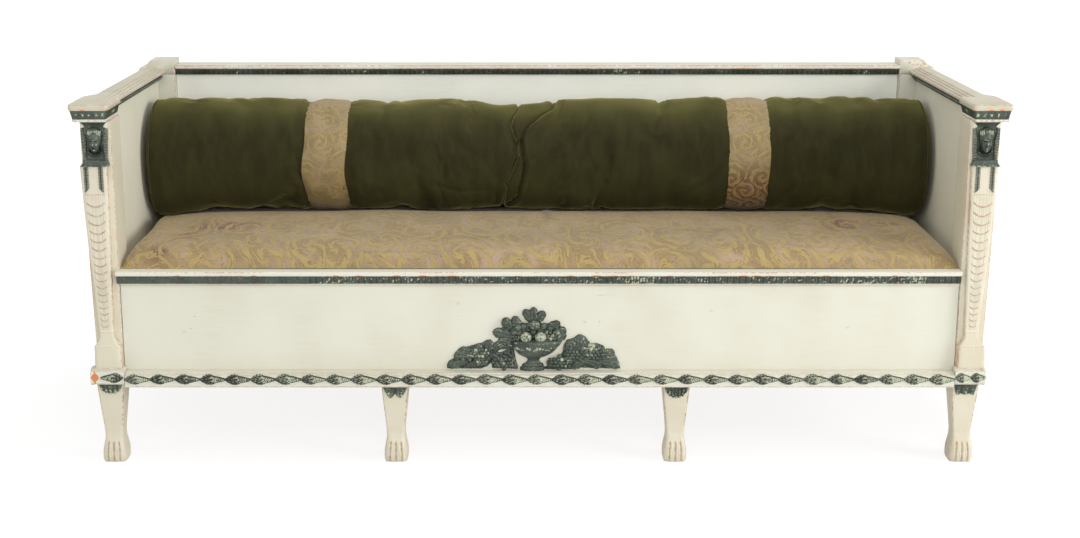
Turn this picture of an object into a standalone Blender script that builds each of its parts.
"""Late Gustavian painted box sofa with a pull-out front, built piece by piece.

Metres, +Z up. The front faces -Y, +X is the sitter's left, and the origin lies on the floor under
the middle. Places from front to back are given as depths behind the front plane of the arm tablets,
and at_depth turns a depth into Y. Pieces that come in pairs are made with side -1 (left in a front
view) and +1 (right).
"""

import math

import bmesh
import bpy
from mathutils import Matrix, Vector

# Overall sizes
LENGTH = 2.130
DEPTH = 0.770
ARM_HEIGHT = 0.860
FRONT_HEIGHT = 0.469
LEG_HEIGHT = 0.200
GAP = 0.0003
SLIDE_GAP = 0.0015
EDGE = 0.0015

# Front posts, with the herm pilaster and head on their faces
EAR_OVERHANG = 0.018
POST_WIDTH = 0.070
POST_DEPTH = 0.092
POST_SETBACK = 0.036
POST_TAPER = 0.010
PILASTER_TOP_WIDTH = 0.051
PILASTER_FOOT_WIDTH = 0.032
PILASTER_PROUD = 0.018
PLINTH_WIDTH = 0.058
PLINTH_HEIGHT = 0.053
PLINTH_PROUD = 0.020
FLARE_HEIGHT = 0.032
HEAD_BLOCK_HEIGHT = 0.103
HEAD_BLOCK_WIDTH = 0.055
HEAD_BLOCK_PROUD = 0.016
HEAD_WIDTH = 0.030
HEAD_HEIGHT = 0.056
HEAD_PROUD = 0.031
SHELF_WIDTH = 0.066
SHELF_HEIGHT = 0.014
SHELF_PROUD = 0.024

# Arm boards, their bands and strips, and the arm panels
BOARD_THICKNESS = 0.015
BOARD_ROUND = 0.004
BAND_HEIGHT = 0.026
BAND_INSET = 0.003
TABLET_LIP = 0.004
TABLET_CORNER = 0.008
EAR_ROUND = 0.030
EAR_RUN = 0.038
ARM_INNER_LIP = 0.020
ARM_OUTER_LIP = 0.005
ARM_PANEL_THICKNESS = 0.032
ARM_STRIP_HEIGHT = 0.019
ARM_STRIP_WIDTH = 0.012

# Rear posts and their caps
REAR_POST_WIDTH = 0.077
REAR_POST_DEPTH = 0.060
REAR_FOOT_TAPER = 0.012
REAR_CAP_DEPTH = 0.068
REAR_CAP_HEIGHT = 0.038
REAR_CAP_RISE = 0.020
REAR_CAP_EAR = 0.019

# Back
BACK_SETBACK = 0.020
BACK_PANEL_THICKNESS = 0.022
BACK_RAIL_THICKNESS = 0.013
BACK_RAIL_RISE = 0.006
BACK_RAIL_NOSE = 0.005
BACK_STRIP_HEIGHT = 0.015
BACK_STRIP_WIDTH = 0.014
BACK_SEAT_RAIL_HEIGHT = 0.200
BACK_SEAT_RAIL_THICKNESS = 0.025
REAR_LEG_WIDTH = 0.050
REAR_LEG_THICKNESS = 0.035
REAR_LEG_FOOT = 0.034
REAR_LEG_LAP = 0.100

# Base moulding
MOULDING_HEIGHT = 0.038
MOULDING_SETBACK = 0.006
MOULDING_SIDE = 0.007
MOULDING_CUT = 0.007

# Paw legs
INNER_LEG_SPACING = 0.662
LEG_SETBACK = 0.034
LEG_TOP_WIDTH = 0.064
LEG_TOP_DEPTH = 0.064
ANKLE_WIDTH = 0.042
ANKLE_DEPTH = 0.044
ANKLE_HEIGHT = 0.072
PAW_WIDTH = 0.055
PAW_LENGTH = 0.068
PAW_REACH = 0.006
TOE_COUNT = 4
TOE_GROOVE = 0.004
TENON = 0.020
TENON_LENGTH = 0.022

# Seat
SEAT_DROP = 0.049
SEAT_BOARD_THICKNESS = 0.018
SEAT_BOARD_COUNT = 3
SEAT_BOARD_GAP = 0.002
FRONT_SEAT_RAIL_THICKNESS = 0.025
FRONT_SEAT_RAIL_HEIGHT = 0.050
FRONT_SEAT_RAIL_ROOM = 0.003
BEARER_WIDTH = 0.040
BEARER_HEIGHT = 0.040
LEDGER_WIDTH = 0.055
LEDGER_HEIGHT = 0.040

# Pull-out front and its bed box
FRONT_SETBACK = 0.040
FRONT_THICKNESS = 0.025
FRONT_RAIL_SETBACK = 0.014
FRONT_RAIL_DEPTH = 0.064
FRONT_RAIL_THICKNESS = 0.014
FRONT_STRIP_HEIGHT = 0.013
FRONT_STRIP_WIDTH = 0.018
FOOT_RAIL_DEPTH = 0.034
FOOT_RAIL_HEIGHT = 0.040
RUNNER_WIDTH = 0.080
RUNNER_HEIGHT = 0.025
BOX_ON_RUNNER = 0.025
BOX_WALL = 0.020
BOX_BOTTOM = 0.012
BOX_HEADROOM = 0.007
BOX_BACK_ROOM = 0.040

# Carving on the pull-out front
LEAF_LENGTH = 0.057
LEAF_HEIGHT = 0.024
LEAF_PROUD = 0.005
URN_OFFSET = -0.012
URN_FOOT_WIDTH = 0.061
URN_BOWL_WIDTH = 0.126
URN_HEIGHT = 0.074
URN_PROUD = 0.020
FRUIT_HEIGHT = 0.066
SWAG_LENGTH = 0.140
SWAG_HEIGHT = 0.066
SWAG_PROUD = 0.013

# Mattress and bolsters
MATTRESS_ROOM = 0.003
MATTRESS_CROWN = 0.112
MATTRESS_EDGE = 0.062
MATTRESS_UNDERCUT = 0.035
MATTRESS_BULGE_RISE = 0.45
MATTRESS_CORNER = 0.12
MATTRESS_END_DROP = 0.55
MATTRESS_STEPS = 20
MATTRESS_ROWS = 24
PRESSED_HEIGHT = 0.090
PRESS_ROOM = 0.0013
BOLSTER_RADIUS = 0.138
BOLSTER_END_RADIUS = 0.122
BOLSTER_END_ROOM = 0.015
BOLSTER_END_BULGE = 0.004
BOLSTER_MEETING = -0.055
BOLSTER_MEETING_GAP = 0.002
CLOTH_BAND = 0.0025
CLOTH_BAND_WIDTH = 0.108
CLOTH_BAND_CENTRE = 0.522

# Places worked out from the sizes: heights
board_low = ARM_HEIGHT - BOARD_THICKNESS
post_top = board_low - BAND_HEIGHT - 2 * GAP
moulding_top = LEG_HEIGHT + MOULDING_HEIGHT
seat_top = FRONT_HEIGHT - SEAT_DROP
bearer_top = seat_top - SEAT_BOARD_THICKNESS - GAP
front_seat_rail_low = bearer_top - FRONT_SEAT_RAIL_HEIGHT
box_low = LEG_HEIGHT + RUNNER_HEIGHT + GAP
box_floor = box_low + BOX_BOTTOM
box_top = front_seat_rail_low - BOX_HEADROOM
front_rail_low = FRONT_HEIGHT - FRONT_RAIL_THICKNESS
back_rail_low = ARM_HEIGHT + BACK_RAIL_RISE - BACK_RAIL_THICKNESS
rear_cap_low = ARM_HEIGHT + REAR_CAP_RISE - REAR_CAP_HEIGHT

# Places worked out from the sizes: across, on the right-hand side
ear_x = LENGTH / 2
post_outer = ear_x - EAR_OVERHANG
post_inner = post_outer - POST_WIDTH
post_foot_outer = post_outer - POST_TAPER
tablet_inner = post_inner - TABLET_LIP
arm_outer = post_foot_outer
arm_inner = arm_outer - ARM_PANEL_THICKNESS
board_outer = arm_outer + ARM_OUTER_LIP
board_inner = arm_inner - ARM_INNER_LIP
rear_outer = arm_outer
rear_inner = rear_outer - REAR_POST_WIDTH
front_half = post_inner - SLIDE_GAP
moulding_cut = post_inner - MOULDING_CUT
runner_inner = arm_inner - GAP - RUNNER_WIDTH
box_half = runner_inner + BOX_ON_RUNNER
leg_x = (post_inner + post_foot_outer) / 2
inner_leg_x = INNER_LEG_SPACING / 2

# Places worked out from the sizes: depth behind the front plane
post_back = POST_SETBACK + POST_DEPTH
rear_front = DEPTH - REAR_CAP_DEPTH
back_face = rear_front + BACK_SETBACK
front_back = FRONT_SETBACK + FRONT_THICKNESS
foot_rail_back = front_back + GAP + FOOT_RAIL_DEPTH
tenon_depth = front_back + GAP + FOOT_RAIL_DEPTH / 2
front_seat_rail_face = front_back + FRONT_SEAT_RAIL_ROOM
front_seat_rail_back = front_seat_rail_face + FRONT_SEAT_RAIL_THICKNESS
front_rail_back = FRONT_RAIL_SETBACK + FRONT_RAIL_DEPTH
box_back = back_face - REAR_LEG_THICKNESS - BOX_BACK_ROOM
bolster_reach = BOLSTER_RADIUS + CLOTH_BAND + GAP
bolster_z = seat_top + PRESSED_HEIGHT + PRESS_ROOM + bolster_reach

SIDES = (("left", -1), ("right", 1))

for old in list(bpy.data.objects):
    bpy.data.objects.remove(old, do_unlink=True)
parts = bpy.data.collections.new("gustavian_box_sofa")
cutters = bpy.data.collections.new("cutters")
bpy.context.scene.collection.children.link(parts)
bpy.context.scene.collection.children.link(cutters)


def at_depth(depth):
    """Y of a place that lies this far behind the front plane of the tablets."""
    return depth - DEPTH / 2


def finish(name, colour, roughness):
    """A plain Principled material of one colour."""
    made = bpy.data.materials.new(name)
    made.use_nodes = True
    shader = made.node_tree.nodes["Principled BSDF"]
    shader.inputs["Base Color"].default_value = (*colour, 1.0)
    shader.inputs["Roughness"].default_value = roughness
    shader.inputs["Metallic"].default_value = 0.0
    return made


cream = finish("cream_paint", (0.74, 0.70, 0.58), 0.55)
green = finish("green_paint", (0.055, 0.075, 0.070), 0.5)
pine = finish("bare_pine", (0.45, 0.29, 0.15), 0.7)
velvet = finish("olive_velvet", (0.055, 0.050, 0.020), 0.9)
brocade = finish("gold_brocade", (0.36, 0.26, 0.14), 0.75)


def axis_empty(name, place):
    """An empty that the pieces of one body hang from."""
    empty = bpy.data.objects.new(name, None)
    empty.location = place
    parts.objects.link(empty)
    return empty


carcass = axis_empty("carcass", (0, 0, 0))
pull_out = axis_empty("pull_out_front", (0, at_depth(front_back), box_low))


def add_piece(name, bm, material, body):
    """Make the mesh an object of the sofa, placed at its own middle and parented to its body."""
    bmesh.ops.remove_doubles(bm, verts=bm.verts, dist=1e-6)
    bmesh.ops.recalc_face_normals(bm, faces=bm.faces)
    low = Vector([min(v.co[i] for v in bm.verts) for i in range(3)])
    high = Vector([max(v.co[i] for v in bm.verts) for i in range(3)])
    middle = (low + high) / 2
    bmesh.ops.translate(bm, verts=bm.verts, vec=-middle)
    mesh = bpy.data.meshes.new(name)
    bm.to_mesh(mesh)
    bm.free()
    mesh.materials.append(material)
    piece = bpy.data.objects.new(name, mesh)
    piece.parent = body
    piece.location = middle - body.location
    parts.objects.link(piece)
    return piece


def round_edges(piece, width, segments=1):
    """Round every sharp edge with a Bevel modifier."""
    bevel = piece.modifiers.new("rounded_edges", "BEVEL")
    bevel.width = width
    bevel.segments = segments
    return piece


def cut(piece, cutter):
    """Take a cutter's shape out of a piece; shells that cross inside the piece are united."""
    boolean = piece.modifiers.new("cut", "BOOLEAN")
    boolean.operation = "DIFFERENCE"
    boolean.use_self = True
    boolean.object = cutter
    return piece


def box_mesh(low, high):
    """A box between two corners."""
    bm = bmesh.new()
    bmesh.ops.create_cube(bm, size=1)
    low, high = Vector(low), Vector(high)
    bmesh.ops.scale(bm, verts=bm.verts, vec=high - low)
    bmesh.ops.translate(bm, verts=bm.verts, vec=(low + high) / 2)
    return bm


def spans(side, near, far):
    """The two X values of a stretch that runs from near to far on one side of the middle, in order."""
    return sorted((side * near, side * far))


def plank(name, across, depths, heights, material, body=carcass, edge=EDGE):
    """A sawn and planed board: a box given by its spans, with eased edges."""
    low = (across[0], at_depth(depths[0]), heights[0])
    high = (across[1], at_depth(depths[1]), heights[1])
    return round_edges(add_piece(name, box_mesh(low, high), material, body), edge)


def cutter_box(name, across, depths, heights):
    """A hidden box that a Boolean takes away."""
    low = (across[0], at_depth(depths[0]), heights[0])
    high = (across[1], at_depth(depths[1]), heights[1])
    bm = box_mesh(low, high)
    mesh = bpy.data.meshes.new(name)
    bm.to_mesh(mesh)
    bm.free()
    cutter = bpy.data.objects.new(name, mesh)
    cutter.hide_render = True
    cutter.display_type = "WIRE"
    cutters.objects.link(cutter)
    return cutter


def loft(rings):
    """A closed solid through rings of equally many points, with a flat cap on each end."""
    bm = bmesh.new()
    loops = [[bm.verts.new(point) for point in ring] for ring in rings]
    for lower, upper in zip(loops, loops[1:]):
        for i, start in enumerate(lower):
            j = (i + 1) % len(lower)
            bm.faces.new((start, lower[j], upper[j], upper[i]))
    bm.faces.new(loops[0])
    bm.faces.new(loops[-1])
    return bm


def rectangle(x0, x1, depth0, depth1, z):
    """A level ring of four corners."""
    y0, y1 = at_depth(depth0), at_depth(depth1)
    return [(x0, y0, z), (x1, y0, z), (x1, y1, z), (x0, y1, z)]


def arc(centre, radius, start, end, steps=5):
    """Points of a round stretch, from one angle to the other, in degrees."""
    angles = [math.radians(start + (end - start) * i / steps) for i in range(steps + 1)]
    return [(centre[0] + radius * math.cos(a), centre[1] + radius * math.sin(a)) for a in angles]


def outline_mesh(points, thickness, frame):
    """A flat outline, filled and extruded evenly about its own plane, then stood up by a matrix."""
    curve = bpy.data.curves.new("outline", "CURVE")
    curve.dimensions = "2D"
    curve.fill_mode = "BOTH"
    curve.extrude = thickness / 2
    spline = curve.splines.new("POLY")
    spline.points.add(len(points) - 1)
    for point, (u, v) in zip(spline.points, points):
        point.co = (u, v, 0, 1)
    spline.use_cyclic_u = True
    holder = bpy.data.objects.new("outline", curve)
    cutters.objects.link(holder)
    evaluated = holder.evaluated_get(bpy.context.evaluated_depsgraph_get())
    mesh = bpy.data.meshes.new_from_object(evaluated)
    bm = bmesh.new()
    bm.from_mesh(mesh)
    bmesh.ops.transform(bm, verts=bm.verts, matrix=frame)
    bpy.data.objects.remove(holder, do_unlink=True)
    bpy.data.curves.remove(curve)
    bpy.data.meshes.remove(mesh)
    return bm


def lying(z):
    """Stands an outline drawn in plan, as (x, y), at a height."""
    return Matrix.Translation((0, 0, z))


def along_x(middle=0.0):
    """Stands an outline drawn as (y, z) so that its thickness runs along X."""
    turn = Matrix(((0, 0, 1, 0), (1, 0, 0, 0), (0, 1, 0, 0), (0, 0, 0, 1)))
    return Matrix.Translation((middle, 0, 0)) @ turn


def along_y(middle):
    """Stands an outline drawn as (x, z) so that its thickness runs along Y."""
    turn = Matrix(((1, 0, 0, 0), (0, 0, -1, 0), (0, 1, 0, 0), (0, 0, 0, 1)))
    return Matrix.Translation((0, middle, 0)) @ turn


def add_ball(bm, centre, radii, segments=12, rings=8):
    """Add an ellipsoid to a mesh."""
    stretch = Matrix.Diagonal((*radii, 1))
    place = Matrix.Translation(centre) @ stretch
    bmesh.ops.create_uvsphere(bm, u_segments=segments, v_segments=rings, radius=1, matrix=place)


def join_mesh(bm, other):
    """Add another mesh's faces to this one."""
    mesh = bpy.data.meshes.new("joined")
    other.to_mesh(mesh)
    other.free()
    bm.from_mesh(mesh)
    bpy.data.meshes.remove(mesh)


def front_posts():
    """Square posts whose outer faces lean in towards the moulding, with a mortise for the corner leg."""
    leaning = (
        (LEG_HEIGHT, post_foot_outer),
        (moulding_top + GAP, post_foot_outer),
        (post_top, post_outer),
    )
    for word, side in SIDES:
        rings = []
        for z, outer in leaning:
            x0, x1 = spans(side, post_inner, outer)
            rings.append(rectangle(x0, x1, POST_SETBACK, post_back, z))
        post = add_piece(f"front_post_{word}", loft(rings), cream, carcass)
        round_edges(post, EDGE)
        cut(post, mortise(f"mortise_{word}", side * leg_x))


def mortise(name, x):
    """The hidden cutter for the hole that a leg's tenon fits."""
    half = TENON / 2 + GAP
    depths = (tenon_depth - half, tenon_depth + half)
    heights = (LEG_HEIGHT - TENON_LENGTH, LEG_HEIGHT + TENON_LENGTH + GAP)
    return cutter_box(name, (x - half, x + half), depths, heights)


def pilaster_ring(x, z, width, proud):
    """A level ring of the pilaster: flat back on the post, chamfered front corners."""
    half = width / 2
    chamfer = proud / 4
    back, front = at_depth(POST_SETBACK - GAP), at_depth(POST_SETBACK - proud)
    return [
        (x - half, back, z),
        (x - half, front + chamfer, z),
        (x - half + chamfer, front, z),
        (x + half - chamfer, front, z),
        (x + half, front + chamfer, z),
        (x + half, back, z),
    ]


def herm_pilasters():
    """Tapering herm shafts: a plinth block, a coved flare above it, a shaft that widens to the shelf."""
    plinth_low = moulding_top + GAP
    plinth_top = plinth_low + PLINTH_HEIGHT
    shaft_low = plinth_top + FLARE_HEIGHT
    shaft_top = post_top - HEAD_BLOCK_HEIGHT - GAP
    foot_proud = PILASTER_PROUD * PILASTER_FOOT_WIDTH / PILASTER_TOP_WIDTH
    for word, side in SIDES:
        x = side * leg_x
        rings = [pilaster_ring(x, plinth_low, PLINTH_WIDTH, PLINTH_PROUD)]
        for step in range(6):
            turn = math.radians(90 * step / 5)
            width = PILASTER_FOOT_WIDTH + (PLINTH_WIDTH - PILASTER_FOOT_WIDTH) * (1 - math.sin(turn))
            proud = foot_proud + (PLINTH_PROUD - foot_proud) * (1 - math.sin(turn))
            z = plinth_top + FLARE_HEIGHT * (1 - math.cos(turn))
            rings.append(pilaster_ring(x, z, width, proud))
        for step in range(1, 7):
            rise = step / 6
            swell = math.sin(rise * math.pi / 2)
            width = PILASTER_FOOT_WIDTH + (PILASTER_TOP_WIDTH - PILASTER_FOOT_WIDTH) * swell
            proud = foot_proud + (PILASTER_PROUD - foot_proud) * swell
            rings.append(pilaster_ring(x, shaft_low + (shaft_top - shaft_low) * rise, width, proud))
        add_piece(f"herm_pilaster_{word}", loft(rings), cream, carcass)


def herm_heads():
    """Carved heads: a flared shelf, a block that widens under the tablet, headdress, head and neck."""
    low = post_top - HEAD_BLOCK_HEIGHT
    shelf_top = low + SHELF_HEIGHT
    head_z = (shelf_top + post_top) / 2
    head_y = at_depth(POST_SETBACK - HEAD_BLOCK_PROUD)
    for word, side in SIDES:
        x = side * leg_x
        rings = [
            pilaster_ring(x, low, HEAD_BLOCK_WIDTH, HEAD_BLOCK_PROUD),
            pilaster_ring(x, low + SHELF_HEIGHT / 2, SHELF_WIDTH, SHELF_PROUD),
            pilaster_ring(x, shelf_top, SHELF_WIDTH, SHELF_PROUD),
            pilaster_ring(x, shelf_top + SHELF_HEIGHT / 2, HEAD_BLOCK_WIDTH, HEAD_BLOCK_PROUD),
            pilaster_ring(x, post_top - SHELF_HEIGHT, HEAD_BLOCK_WIDTH, HEAD_BLOCK_PROUD),
            pilaster_ring(x, post_top, PLINTH_WIDTH, PLINTH_PROUD),
        ]
        bm = loft(rings)
        face_reach = HEAD_PROUD - HEAD_BLOCK_PROUD
        add_ball(bm, (x, head_y, head_z), (HEAD_WIDTH / 2, face_reach, HEAD_HEIGHT / 2))
        for lappet in (-1, 1):
            centre = (x + lappet * HEAD_WIDTH / 2, head_y, head_z - HEAD_HEIGHT / 8)
            add_ball(bm, centre, (HEAD_WIDTH / 4, face_reach / 2, HEAD_HEIGHT / 2))
        head = add_piece(f"herm_head_{word}", bm, green, carcass)
        behind = (POST_SETBACK - GAP, POST_SETBACK + POST_DEPTH)
        across = spans(side, post_inner - POST_WIDTH, post_outer + POST_WIDTH)
        heights = (low - POST_WIDTH, ARM_HEIGHT + POST_WIDTH)
        cut(head, cutter_box(f"post_face_{word}", across, behind, heights))


def tablet_outline(inset, back):
    """Plan of a tablet on the right-hand side, as (x, depth): a small inner corner and a wide outer ear."""
    inner_round = TABLET_CORNER - inset
    outer_round = EAR_ROUND - inset
    inner, outer = tablet_inner + inset, ear_x - inset
    points = arc((inner + inner_round, inset + inner_round), inner_round, 180, 270)
    points += arc((outer - outer_round, inset + outer_round), outer_round, 270, 360)
    points += [(outer, back)]
    return points


def on_side(points, side):
    """Turn (x, depth) points of the right-hand side into (x, y) of either side."""
    return [(side * x, at_depth(depth)) for x, depth in points]


def arm_boards():
    """Arm boards with a tablet at the front, whose ear runs back to the narrow rail in a double curve."""
    step_round = board_inner - tablet_inner
    for word, side in SIDES:
        points = tablet_outline(0, post_back)
        for step in range(1, 7):
            run = step / 6
            x = board_outer + (ear_x - board_outer) * (1 + math.cos(math.pi * run)) / 2
            points.append((x, post_back + EAR_RUN * run))
        points += [(board_outer, rear_front - GAP), (board_inner, rear_front - GAP)]
        points += arc((tablet_inner + step_round, post_back - step_round), step_round, 90, 180)
        middle = ARM_HEIGHT - BOARD_THICKNESS / 2
        bm = outline_mesh(on_side(points, side), BOARD_THICKNESS, lying(middle))
        round_edges(add_piece(f"arm_board_{word}", bm, cream, carcass), BOARD_ROUND, 2)


def tablet_bands():
    """Green bands under the tablets, set in a little from their edges and standing on the posts."""
    for word, side in SIDES:
        back_round = TABLET_CORNER
        back = post_back - GAP
        inner = tablet_inner + BAND_INSET
        points = tablet_outline(BAND_INSET, back)
        points += arc((inner + back_round, back - back_round), back_round, 90, 180)
        middle = board_low - GAP - BAND_HEIGHT / 2
        bm = outline_mesh(on_side(points, side), BAND_HEIGHT, lying(middle))
        round_edges(add_piece(f"tablet_band_{word}", bm, green, carcass), EDGE)


def ovolo(width, height):
    """A strip's section, as (out, up) from its upper inner corner: a fillet over a quarter round."""
    fillet = height / 4
    points = [(0, 0), (width, 0), (width, -fillet)]
    for step in range(1, 6):
        turn = math.radians(90 * step / 5)
        points.append((width * math.cos(turn), -fillet - (height - fillet) * math.sin(turn)))
    return points


def arm_strips():
    """Green strips in the angle between the arm boards and the arm panels."""
    length = rear_front - post_back - 2 * GAP
    middle = at_depth((rear_front + post_back) / 2)
    for word, side in SIDES:
        section = ovolo(ARM_STRIP_WIDTH, ARM_STRIP_HEIGHT)
        points = [(side * (arm_inner - GAP - out), board_low - GAP + up) for out, up in section]
        bm = outline_mesh(points, length, along_y(middle))
        add_piece(f"arm_strip_{word}", bm, green, carcass)


def arm_panels():
    """Arm panels between the front and rear posts, from the underside of the box to the arm boards."""
    for word, side in SIDES:
        depths = (post_back + GAP, rear_front - GAP)
        heights = (LEG_HEIGHT, board_low - GAP)
        plank(f"arm_panel_{word}", spans(side, arm_inner, arm_outer), depths, heights, cream)


def rear_posts():
    """Rear posts that run down to the floor as plain outer rear legs, tapered on two sides."""
    back = rear_front + REAR_POST_DEPTH
    for word, side in SIDES:
        rings = []
        for z, taper in ((0, REAR_FOOT_TAPER), (LEG_HEIGHT, 0), (rear_cap_low - GAP, 0)):
            x0, x1 = spans(side, rear_inner + taper, rear_outer)
            rings.append(rectangle(x0, x1, rear_front + taper, back, z))
        round_edges(add_piece(f"rear_post_{word}", loft(rings), cream, carcass), EDGE)


def rear_caps():
    """Raised caps on the rear posts, with an ogee on the outer side."""
    ogee = ((0, 0.7), (0.2, 1), (0.42, 1), (0.62, 0.35), (0.8, 0.1), (1, 0))
    for word, side in SIDES:
        rings = []
        for rise, out in ogee:
            x0, x1 = spans(side, rear_inner, rear_outer + REAR_CAP_EAR * out)
            z = rear_cap_low + REAR_CAP_HEIGHT * rise
            rings.append(rectangle(x0, x1, rear_front, DEPTH, z))
        add_piece(f"rear_cap_{word}", loft(rings), cream, carcass)


def back():
    """The back: a panel between the rear posts, a rail and a green strip above, a seat rail below."""
    panel_half = rear_inner - GAP
    across = (-panel_half, panel_half)
    seat_rail_top = LEG_HEIGHT + BACK_SEAT_RAIL_HEIGHT
    panel_depths = (back_face, back_face + BACK_PANEL_THICKNESS)
    panel_heights = (seat_rail_top + GAP, back_rail_low - GAP)
    plank("back_panel", across, panel_depths, panel_heights, cream)
    rail_depths = (rear_front - BACK_RAIL_NOSE, DEPTH)
    rail_heights = (back_rail_low, back_rail_low + BACK_RAIL_THICKNESS)
    plank("back_rail", across, rail_depths, rail_heights, cream, edge=BOARD_ROUND)
    section = ovolo(BACK_STRIP_WIDTH, BACK_STRIP_HEIGHT)
    points = [(at_depth(back_face - GAP - out), back_rail_low - GAP + up) for out, up in section]
    add_piece("back_strip", outline_mesh(points, 2 * panel_half, along_x()), green, carcass)
    seat_rail_depths = (back_face, back_face + BACK_SEAT_RAIL_THICKNESS)
    plank("back_seat_rail", across, seat_rail_depths, (LEG_HEIGHT, seat_rail_top), cream)


def rear_legs():
    """Plain tapered inner rear legs, lapped on the inside of the back seat rail."""
    behind = back_face - GAP
    before = behind - REAR_LEG_THICKNESS
    widths = (
        (0, REAR_LEG_FOOT),
        (LEG_HEIGHT, REAR_LEG_WIDTH),
        (LEG_HEIGHT + REAR_LEG_LAP, REAR_LEG_WIDTH),
    )
    for word, side in SIDES:
        x = side * inner_leg_x
        rings = []
        for z, width in widths:
            rings.append(rectangle(x - width / 2, x + width / 2, before, behind, z))
        round_edges(add_piece(f"rear_leg_{word}", loft(rings), cream, carcass), EDGE)


def moulding_section():
    """The base moulding as (share of its projection, height): a face, a rounded arris and a top fillet."""
    arris = MOULDING_HEIGHT / 8
    return [
        (0, 0),
        (0.88, 0),
        (1, arris),
        (1, MOULDING_HEIGHT - 2 * arris),
        (0.9, MOULDING_HEIGHT - arris),
        (0.55, MOULDING_HEIGHT - arris / 2),
        (0.5, MOULDING_HEIGHT),
        (0, MOULDING_HEIGHT),
    ]


def side_mouldings():
    """Base mouldings of the fixed box: a short front length on the post, mitred into the side run."""
    front_reach = POST_SETBACK - GAP - MOULDING_SETBACK
    for word, side in SIDES:
        start, corner, end = [], [], []
        for share, height in moulding_section():
            x = side * (arm_outer + GAP + MOULDING_SIDE * share)
            y = at_depth(POST_SETBACK - GAP - front_reach * share)
            z = LEG_HEIGHT + height
            start.append((side * (moulding_cut + SLIDE_GAP), y, z))
            corner.append((x, y, z))
            end.append((x, at_depth(rear_front + REAR_POST_DEPTH), z))
        add_piece(f"side_moulding_{word}", loft([start, corner, end]), cream, carcass)


def paw_ring(x, z, width, front, back, groove):
    """A level ring of a leg. Its front has a round for each toe, with a groove of given depth between."""
    points = []
    steps = 3 * TOE_COUNT
    for step in range(steps + 1):
        share = step / steps
        valley = 1 - abs(math.sin(math.pi * TOE_COUNT * share))
        corner = (2 * share - 1) ** 4 * width / 8
        points.append((x + width * (share - 0.5), at_depth(front + corner + groove * valley), z))
    for share in (0.5, 0.25, -0.25, -0.5):
        shy = width / 10 if abs(share) == 0.5 else 0
        points.append((x + width * share, at_depth(back - shy), z))
    return points


def paw_leg(name, x, body):
    """A leg that tapers to an ankle and spreads into a paw of four toes, with a square tenon on top."""
    front, back = LEG_SETBACK, LEG_SETBACK + LEG_TOP_DEPTH
    middle = (front + back) / 2
    ankle = (middle - ANKLE_DEPTH / 2, middle + ANKLE_DEPTH / 2)
    paw = (front - PAW_REACH, front - PAW_REACH + PAW_LENGTH)
    top = LEG_HEIGHT - GAP
    rings = [
        paw_ring(x, 0, PAW_WIDTH * 0.94, paw[0] + TOE_GROOVE / 2, paw[1], TOE_GROOVE),
        paw_ring(x, ANKLE_HEIGHT * 0.12, PAW_WIDTH, paw[0], paw[1], TOE_GROOVE),
        paw_ring(x, ANKLE_HEIGHT * 0.40, PAW_WIDTH, paw[0] + TOE_GROOVE / 2, paw[1], TOE_GROOVE),
        paw_ring(x, ANKLE_HEIGHT * 0.68, PAW_WIDTH * 0.93, (paw[0] + ankle[0]) / 2, ankle[1], TOE_GROOVE),
        paw_ring(x, ANKLE_HEIGHT * 0.85, (PAW_WIDTH + ANKLE_WIDTH) / 2, ankle[0] - TOE_GROOVE, ankle[1], 0),
        paw_ring(x, ANKLE_HEIGHT, ANKLE_WIDTH, ankle[0], ankle[1], 0),
    ]
    for step in range(1, 5):
        rise = step / 4
        swell = rise ** 1.3
        width = ANKLE_WIDTH + (LEG_TOP_WIDTH - ANKLE_WIDTH) * swell
        ring_front = ankle[0] + (front - ankle[0]) * swell
        ring_back = ankle[1] + (back - ankle[1]) * swell
        z = ANKLE_HEIGHT + (top - ANKLE_HEIGHT) * rise
        rings.append(paw_ring(x, z, width, ring_front, ring_back, 0))
    leg = add_piece(name, loft(rings), cream, body)
    half = TENON / 2
    peg = cutter_box(
        f"{name}_tenon",
        (x - half, x + half),
        (tenon_depth - half, tenon_depth + half),
        (top - TENON_LENGTH, LEG_HEIGHT + TENON_LENGTH),
    )
    union = leg.modifiers.new("tenon", "BOOLEAN")
    union.operation = "UNION"
    union.object = peg


def seat():
    """The fixed seat: front rail and bearers, ledgers on the arm panels, and loose boards laid across."""
    rail_half = post_inner - GAP
    plank(
        "front_seat_rail",
        (-rail_half, rail_half),
        (front_seat_rail_face, front_seat_rail_back),
        (front_seat_rail_low, bearer_top),
        pine,
    )
    for word, side in SIDES:
        bearer = (side * inner_leg_x - BEARER_WIDTH / 2, side * inner_leg_x + BEARER_WIDTH / 2)
        bearer_depths = (front_seat_rail_back + GAP, back_face - GAP)
        plank(f"seat_bearer_{word}", bearer, bearer_depths, (bearer_top - BEARER_HEIGHT, bearer_top), pine)
        ledger = spans(side, arm_inner - GAP - LEDGER_WIDTH, arm_inner - GAP)
        ledger_depths = (post_back + GAP, rear_front - GAP)
        plank(f"seat_ledger_{word}", ledger, ledger_depths, (bearer_top - LEDGER_HEIGHT, bearer_top), pine)
    start, end = front_seat_rail_face, rear_front - GAP
    width = (end - start - (SEAT_BOARD_COUNT - 1) * SEAT_BOARD_GAP) / SEAT_BOARD_COUNT
    board_half = post_inner - SLIDE_GAP
    for number in range(SEAT_BOARD_COUNT):
        board_start = start + number * (width + SEAT_BOARD_GAP)
        plank(
            f"seat_board_{number + 1}",
            (-board_half, board_half),
            (board_start, board_start + width),
            (seat_top - SEAT_BOARD_THICKNESS, seat_top),
            pine,
        )


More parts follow.
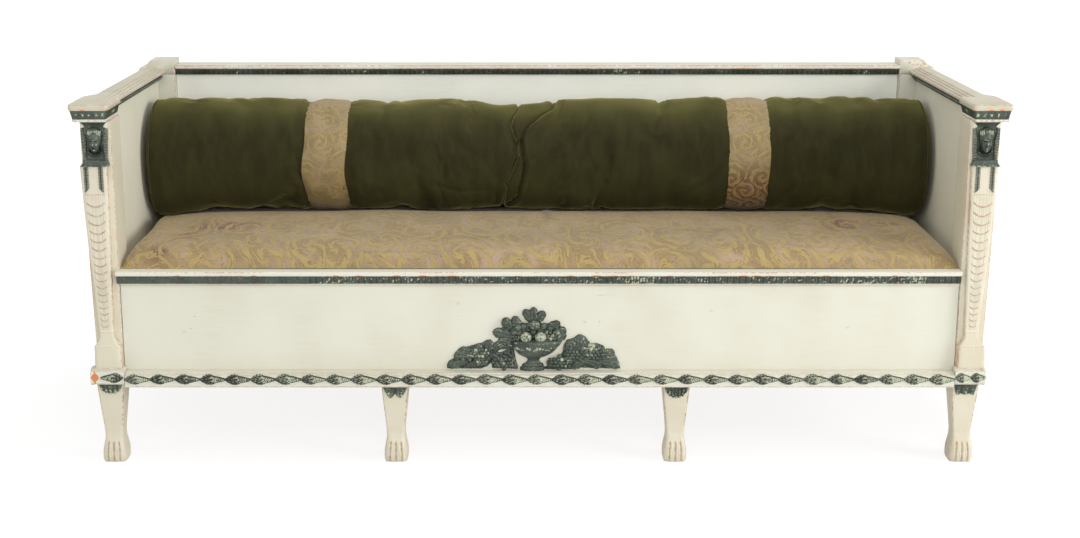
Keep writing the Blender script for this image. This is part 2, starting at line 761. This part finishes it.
def runner_rails():
    """Flat rails inside the arm panels that tie the posts and carry the pull-out box."""
    for word, side in SIDES:
        across = spans(side, runner_inner, arm_inner - GAP)
        depths = (post_back + GAP, rear_front - GAP)
        plank(f"runner_rail_{word}", across, depths, (LEG_HEIGHT, LEG_HEIGHT + RUNNER_HEIGHT), pine)


def pull_out_front():
    """The front that pulls out: panel, top rail, strip, base moulding, foot rail and inner legs."""
    across = (-front_half, front_half)
    panel_top = front_rail_low - GAP
    plank("front_panel", across, (FRONT_SETBACK, front_back), (LEG_HEIGHT, panel_top), cream, pull_out)
    rail_depths = (FRONT_RAIL_SETBACK, front_rail_back)
    plank("front_rail", across, rail_depths, (front_rail_low, FRONT_HEIGHT), cream, pull_out, BOARD_ROUND)
    section = ovolo(FRONT_STRIP_WIDTH, FRONT_STRIP_HEIGHT)
    points = [(at_depth(FRONT_SETBACK - GAP - out), front_rail_low - GAP + up) for out, up in section]
    add_piece("front_strip", outline_mesh(points, 2 * front_half, along_x()), green, pull_out)
    reach = FRONT_SETBACK - GAP - MOULDING_SETBACK
    section = moulding_section()
    points = [(at_depth(FRONT_SETBACK - GAP - reach * share), LEG_HEIGHT + up) for share, up in section]
    add_piece("front_moulding", outline_mesh(points, 2 * moulding_cut, along_x()), cream, pull_out)
    foot_half = runner_inner - GAP
    foot_rail = plank(
        "foot_rail",
        (-foot_half, foot_half),
        (front_back + GAP, foot_rail_back),
        (LEG_HEIGHT, LEG_HEIGHT + FOOT_RAIL_HEIGHT),
        pine,
        pull_out,
    )
    for word, side in SIDES:
        cut(foot_rail, mortise(f"inner_mortise_{word}", side * inner_leg_x))
        paw_leg(f"inner_leg_{word}", side * inner_leg_x, pull_out)


def bed_box():
    """The box behind the front: a bottom that slides on the runners, two sides and a back standing on it."""
    bottom_depths = (foot_rail_back + GAP, box_back)
    plank("box_bottom", (-box_half, box_half), bottom_depths, (box_low, box_floor), pine, pull_out)
    heights = (box_floor + GAP, box_top)
    for word, side in SIDES:
        wall = spans(side, box_half - BOX_WALL, box_half)
        plank(f"box_side_{word}", wall, (front_back + GAP, box_back), heights, pine, pull_out)
    back_half = box_half - BOX_WALL - GAP
    plank("box_back", (-back_half, back_half), (box_back - BOX_WALL, box_back), heights, pine, pull_out)


def leaf_garland():
    """A chain of husk leaves on the base moulding: each swells from a pointed tail and ends in a bud."""
    count = int(2 * moulding_cut / LEAF_LENGTH)
    pitch = 2 * moulding_cut / count
    swell = ((0, 0.22), (0.22, 0.7), (0.45, 1), (0.58, 0.55), (0.75, 0.62), (0.92, 0.3))
    face = at_depth(MOULDING_SETBACK - GAP)
    middle = LEG_HEIGHT + MOULDING_HEIGHT / 2
    tip = (0.99, 0.22)
    stations = [(number + share, size) for number in range(count) for share, size in swell]
    stations.append((count - 1 + tip[0], tip[1]))
    rings = []
    for place, size in stations:
        x = -moulding_cut + GAP + place * pitch
        half = LEAF_HEIGHT / 2 * size
        crown = face - LEAF_PROUD * (0.35 + 0.65 * size)
        shoulder = face - LEAF_PROUD * 0.3
        rings.append(
            [
                (x, face, middle - half),
                (x, shoulder, middle - half),
                (x, crown, middle),
                (x, shoulder, middle + half),
                (x, face, middle + half),
            ]
        )
    add_piece("leaf_garland", loft(rings), green, pull_out)


def turned(profile, segments=20):
    """A closed turned shape about Z, from (radius, height) pairs that start and end on the axis."""
    bm = bmesh.new()
    verts = [bm.verts.new((radius, 0, height)) for radius, height in profile]
    edges = [bm.edges.new(pair) for pair in zip(verts, verts[1:])]
    bmesh.ops.spin(
        bm,
        geom=verts + edges,
        cent=(0, 0, 0),
        axis=(0, 0, 1),
        angle=2 * math.pi,
        steps=segments,
        use_merge=True,
    )
    bmesh.ops.remove_doubles(bm, verts=bm.verts, dist=1e-6)
    return bm


def panel_cutter(name, low_x, high_x):
    """The hidden cutter that gives a carving its flat back on the front panel."""
    depths = (FRONT_SETBACK - GAP, FRONT_SETBACK + URN_BOWL_WIDTH)
    return cutter_box(name, (low_x, high_x), depths, (LEG_HEIGHT, front_rail_low))


def urn_carving():
    """A half-round footed bowl heaped with fruit, under a spray of leaves."""
    foot, bowl = URN_FOOT_WIDTH / 2, URN_BOWL_WIDTH / 2
    low = moulding_top + GAP
    profile = [
        (0, 0),
        (foot, 0),
        (foot, 0.09 * URN_HEIGHT),
        (foot * 0.78, 0.12 * URN_HEIGHT),
        (foot * 0.78, 0.2 * URN_HEIGHT),
        (foot * 0.32, 0.28 * URN_HEIGHT),
        (foot * 0.28, 0.42 * URN_HEIGHT),
        (bowl * 0.36, 0.5 * URN_HEIGHT),
        (bowl * 0.75, 0.66 * URN_HEIGHT),
        (bowl * 0.95, 0.84 * URN_HEIGHT),
        (bowl, 0.95 * URN_HEIGHT),
        (bowl * 0.94, URN_HEIGHT),
        (0, URN_HEIGHT),
    ]
    bm = turned(profile)
    bmesh.ops.scale(bm, verts=bm.verts, vec=(1, URN_PROUD / bowl, 1))
    fruit = FRUIT_HEIGHT / 4
    heap = URN_HEIGHT + fruit * 0.5
    for x, z, size in ((-1.15, 0, 1), (1.0, 0, 1), (0, 1.45, 0.95), (-2.4, 0.5, 0.8), (2.4, 0.5, 0.8)):
        add_ball(bm, (x * fruit, 0, heap + z * fruit), (size * fruit, URN_PROUD * 0.8, size * fruit))
    for lean in (-2, -1, 0, 1, 2):
        turn = math.radians(lean * 36)
        root = Vector((math.sin(turn), 0, math.cos(turn))) * FRUIT_HEIGHT * 0.55
        leaf = bmesh.new()
        add_ball(leaf, (0, 0, 0), (fruit * 0.62, URN_PROUD * 0.45, fruit * 1.5), 10, 8)
        bmesh.ops.rotate(leaf, verts=leaf.verts, cent=(0, 0, 0), matrix=Matrix.Rotation(turn, 3, "Y"))
        bmesh.ops.translate(leaf, verts=leaf.verts, vec=root + Vector((0, 0, heap)))
        join_mesh(bm, leaf)
    bmesh.ops.translate(bm, verts=bm.verts, vec=(URN_OFFSET, at_depth(FRONT_SETBACK), low))
    carving = add_piece("urn_carving", bm, green, pull_out)
    reach = URN_BOWL_WIDTH
    cut(carving, panel_cutter("urn_back", URN_OFFSET - reach, URN_OFFSET + reach))


def swags():
    """Heaped swags of leaves and grapes on either side of the urn, lower towards their ends."""
    low = moulding_top + GAP
    start = URN_BOWL_WIDTH / 2 + 2 * GAP
    count = 6
    for word, side in SIDES:
        bm = bmesh.new()
        for number in range(count):
            share = number / (count - 1)
            lump = SWAG_HEIGHT * (0.42 - 0.18 * share)
            x = URN_OFFSET + side * (start + lump + (SWAG_LENGTH - 2 * lump) * share)
            heap = (0.35 + 0.3 * (number % 2)) * math.cos(share * math.pi / 2)
            z = low + lump + (SWAG_HEIGHT - 2 * lump) * heap
            proud = SWAG_PROUD * (1 - 0.4 * share)
            add_ball(bm, (x, at_depth(FRONT_SETBACK), z), (lump, proud, lump))
        swag = add_piece(f"swag_{word}", bm, green, pull_out)
        near, far = spans(side, 0, start + 2 * SWAG_LENGTH)
        cut(swag, panel_cutter(f"swag_back_{word}", near + URN_OFFSET, far + URN_OFFSET))


def bolster_stretch(word):
    """Where a bolster starts and ends along X. The two meet end to end, a little left of the middle."""
    outer = arm_inner - BOLSTER_END_ROOM
    half_gap = BOLSTER_MEETING_GAP / 2
    return {
        "left": (-outer, BOLSTER_MEETING - half_gap),
        "right": (BOLSTER_MEETING + half_gap, outer),
    }[word]


def bolster_radius(place):
    """Radius of a bolster along its length, from -1 at one end to 1 at the other."""
    return BOLSTER_RADIUS - (BOLSTER_RADIUS - BOLSTER_END_RADIUS) * abs(place) ** 5


def radius_at_rear_post(word):
    """Radius of a bolster where its end comes in front of a rear post."""
    start, end = bolster_stretch(word)
    middle = abs(start + end) / 2
    return bolster_radius((rear_inner - middle) / (end - start) * 2)


def depth_of_bolsters():
    """How far back the bolsters' axis lies: they lean on the rear posts or the back, which comes first."""
    ends = max(radius_at_rear_post(word) for word, side in SIDES)
    return min(back_face - bolster_reach, rear_front - ends) - GAP


bolster_depth = depth_of_bolsters()


def bolsters():
    """Two round bolsters that meet end to end, each with a sewn band of the mattress's cloth."""
    places = (-0.985, -0.94, -0.86, -0.7, -0.4, 0, 0.4, 0.7, 0.86, 0.94, 0.985)
    centre = Vector((0, at_depth(bolster_depth), bolster_z))
    for word, side in SIDES:
        start, end = bolster_stretch(word)
        half = (end - start) / 2
        rim = half - BOLSTER_END_BULGE
        profile = [(0, -half), (BOLSTER_END_RADIUS * 0.8, -rim), (BOLSTER_END_RADIUS * 0.97, -rim)]
        profile += [(bolster_radius(place), rim * place) for place in places]
        profile += [(BOLSTER_END_RADIUS * 0.97, rim), (BOLSTER_END_RADIUS * 0.8, rim), (0, half)]
        bm = turned(profile, 32)
        middle = Vector(((start + end) / 2, 0, 0)) + centre
        bmesh.ops.transform(bm, verts=bm.verts, matrix=lying_along_x(middle))
        add_piece(f"bolster_{word}", bm, velvet, carcass).data.shade_smooth()
        cloth_band(word, Vector((side * CLOTH_BAND_CENTRE, 0, 0)) + centre)


def lying_along_x(middle):
    """Lays a shape that was turned about Z along X, with its middle at a place."""
    return Matrix.Translation(middle) @ Matrix.Rotation(math.radians(90), 4, "Y")


def cloth_band(word, middle):
    """A sleeve of cloth round a bolster."""
    inner, outer = BOLSTER_RADIUS + GAP, BOLSTER_RADIUS + GAP + CLOTH_BAND
    half = CLOTH_BAND_WIDTH / 2
    bm = bmesh.new()
    corners = ((outer, -half), (outer, half), (inner, half), (inner, -half))
    verts = [bm.verts.new((radius, 0, height)) for radius, height in corners]
    edges = [bm.edges.new((verts[i], verts[(i + 1) % 4])) for i in range(4)]
    bmesh.ops.spin(
        bm, geom=verts + edges, cent=(0, 0, 0), axis=(0, 0, 1), angle=2 * math.pi, steps=32, use_merge=True
    )
    bmesh.ops.transform(bm, verts=bm.verts, matrix=lying_along_x(middle))
    add_piece(f"bolster_band_{word}", bm, brocade, carcass).data.shade_smooth()


def mattress_top(u, depth):
    """Height of the mattress over the boards: crowned both ways, and pressed down under the bolsters."""
    start, end = front_rail_back + MATTRESS_ROOM, rear_front - MATTRESS_ROOM
    v = 2 * (depth - start) / (end - start) - 1
    shape = (1 - abs(u) ** 4 * 0.35) * (1 - abs(v) ** 6 * 0.5)
    crowned = MATTRESS_EDGE + (MATTRESS_CROWN - MATTRESS_EDGE) * shape
    off = depth - bolster_depth
    if abs(off) < bolster_reach:
        under = bolster_z - math.sqrt(bolster_reach**2 - off**2) - seat_top - PRESS_ROOM
        return min(crowned, under)
    return crowned


def mattress():
    """A stuffed mattress: sections from end to end with bulging walls and a crowned top."""
    half = post_inner - MATTRESS_ROOM
    start, end = front_rail_back + MATTRESS_ROOM, rear_front - MATTRESS_ROOM
    middle = (start + end) / 2
    bulge = MATTRESS_EDGE * MATTRESS_BULGE_RISE
    rings = []
    for step in range(MATTRESS_STEPS + 1):
        u = -math.cos(math.pi * step / MATTRESS_STEPS)
        draw_in = 1 - MATTRESS_CORNER * abs(u) ** 12
        height = 1 - MATTRESS_END_DROP * abs(u) ** 16
        section = [(start + MATTRESS_UNDERCUT, 0), (start, bulge)]
        for row in range(MATTRESS_ROWS + 1):
            share = row / MATTRESS_ROWS
            depth = start + MATTRESS_ROOM + (end - start - 2 * MATTRESS_ROOM) * share
            section.append((depth, mattress_top(u, depth)))
        section += [(end, bulge), (end - MATTRESS_UNDERCUT, 0)]
        ring = []
        for depth, up in section:
            y = at_depth(middle + (depth - middle) * draw_in)
            ring.append((half * u, y, seat_top + GAP + up * height))
        rings.append(ring)
    add_piece("mattress", loft(rings), brocade, carcass).data.shade_smooth()


front_posts()
herm_pilasters()
herm_heads()
arm_boards()
tablet_bands()
arm_strips()
arm_panels()
rear_posts()
rear_caps()
back()
rear_legs()
side_mouldings()
for side_word, side_sign in SIDES:
    paw_leg(f"corner_leg_{side_word}", side_sign * leg_x, carcass)
seat()
runner_rails()
pull_out_front()
bed_box()
leaf_garland()
urn_carving()
swags()
bolsters()
mattress()
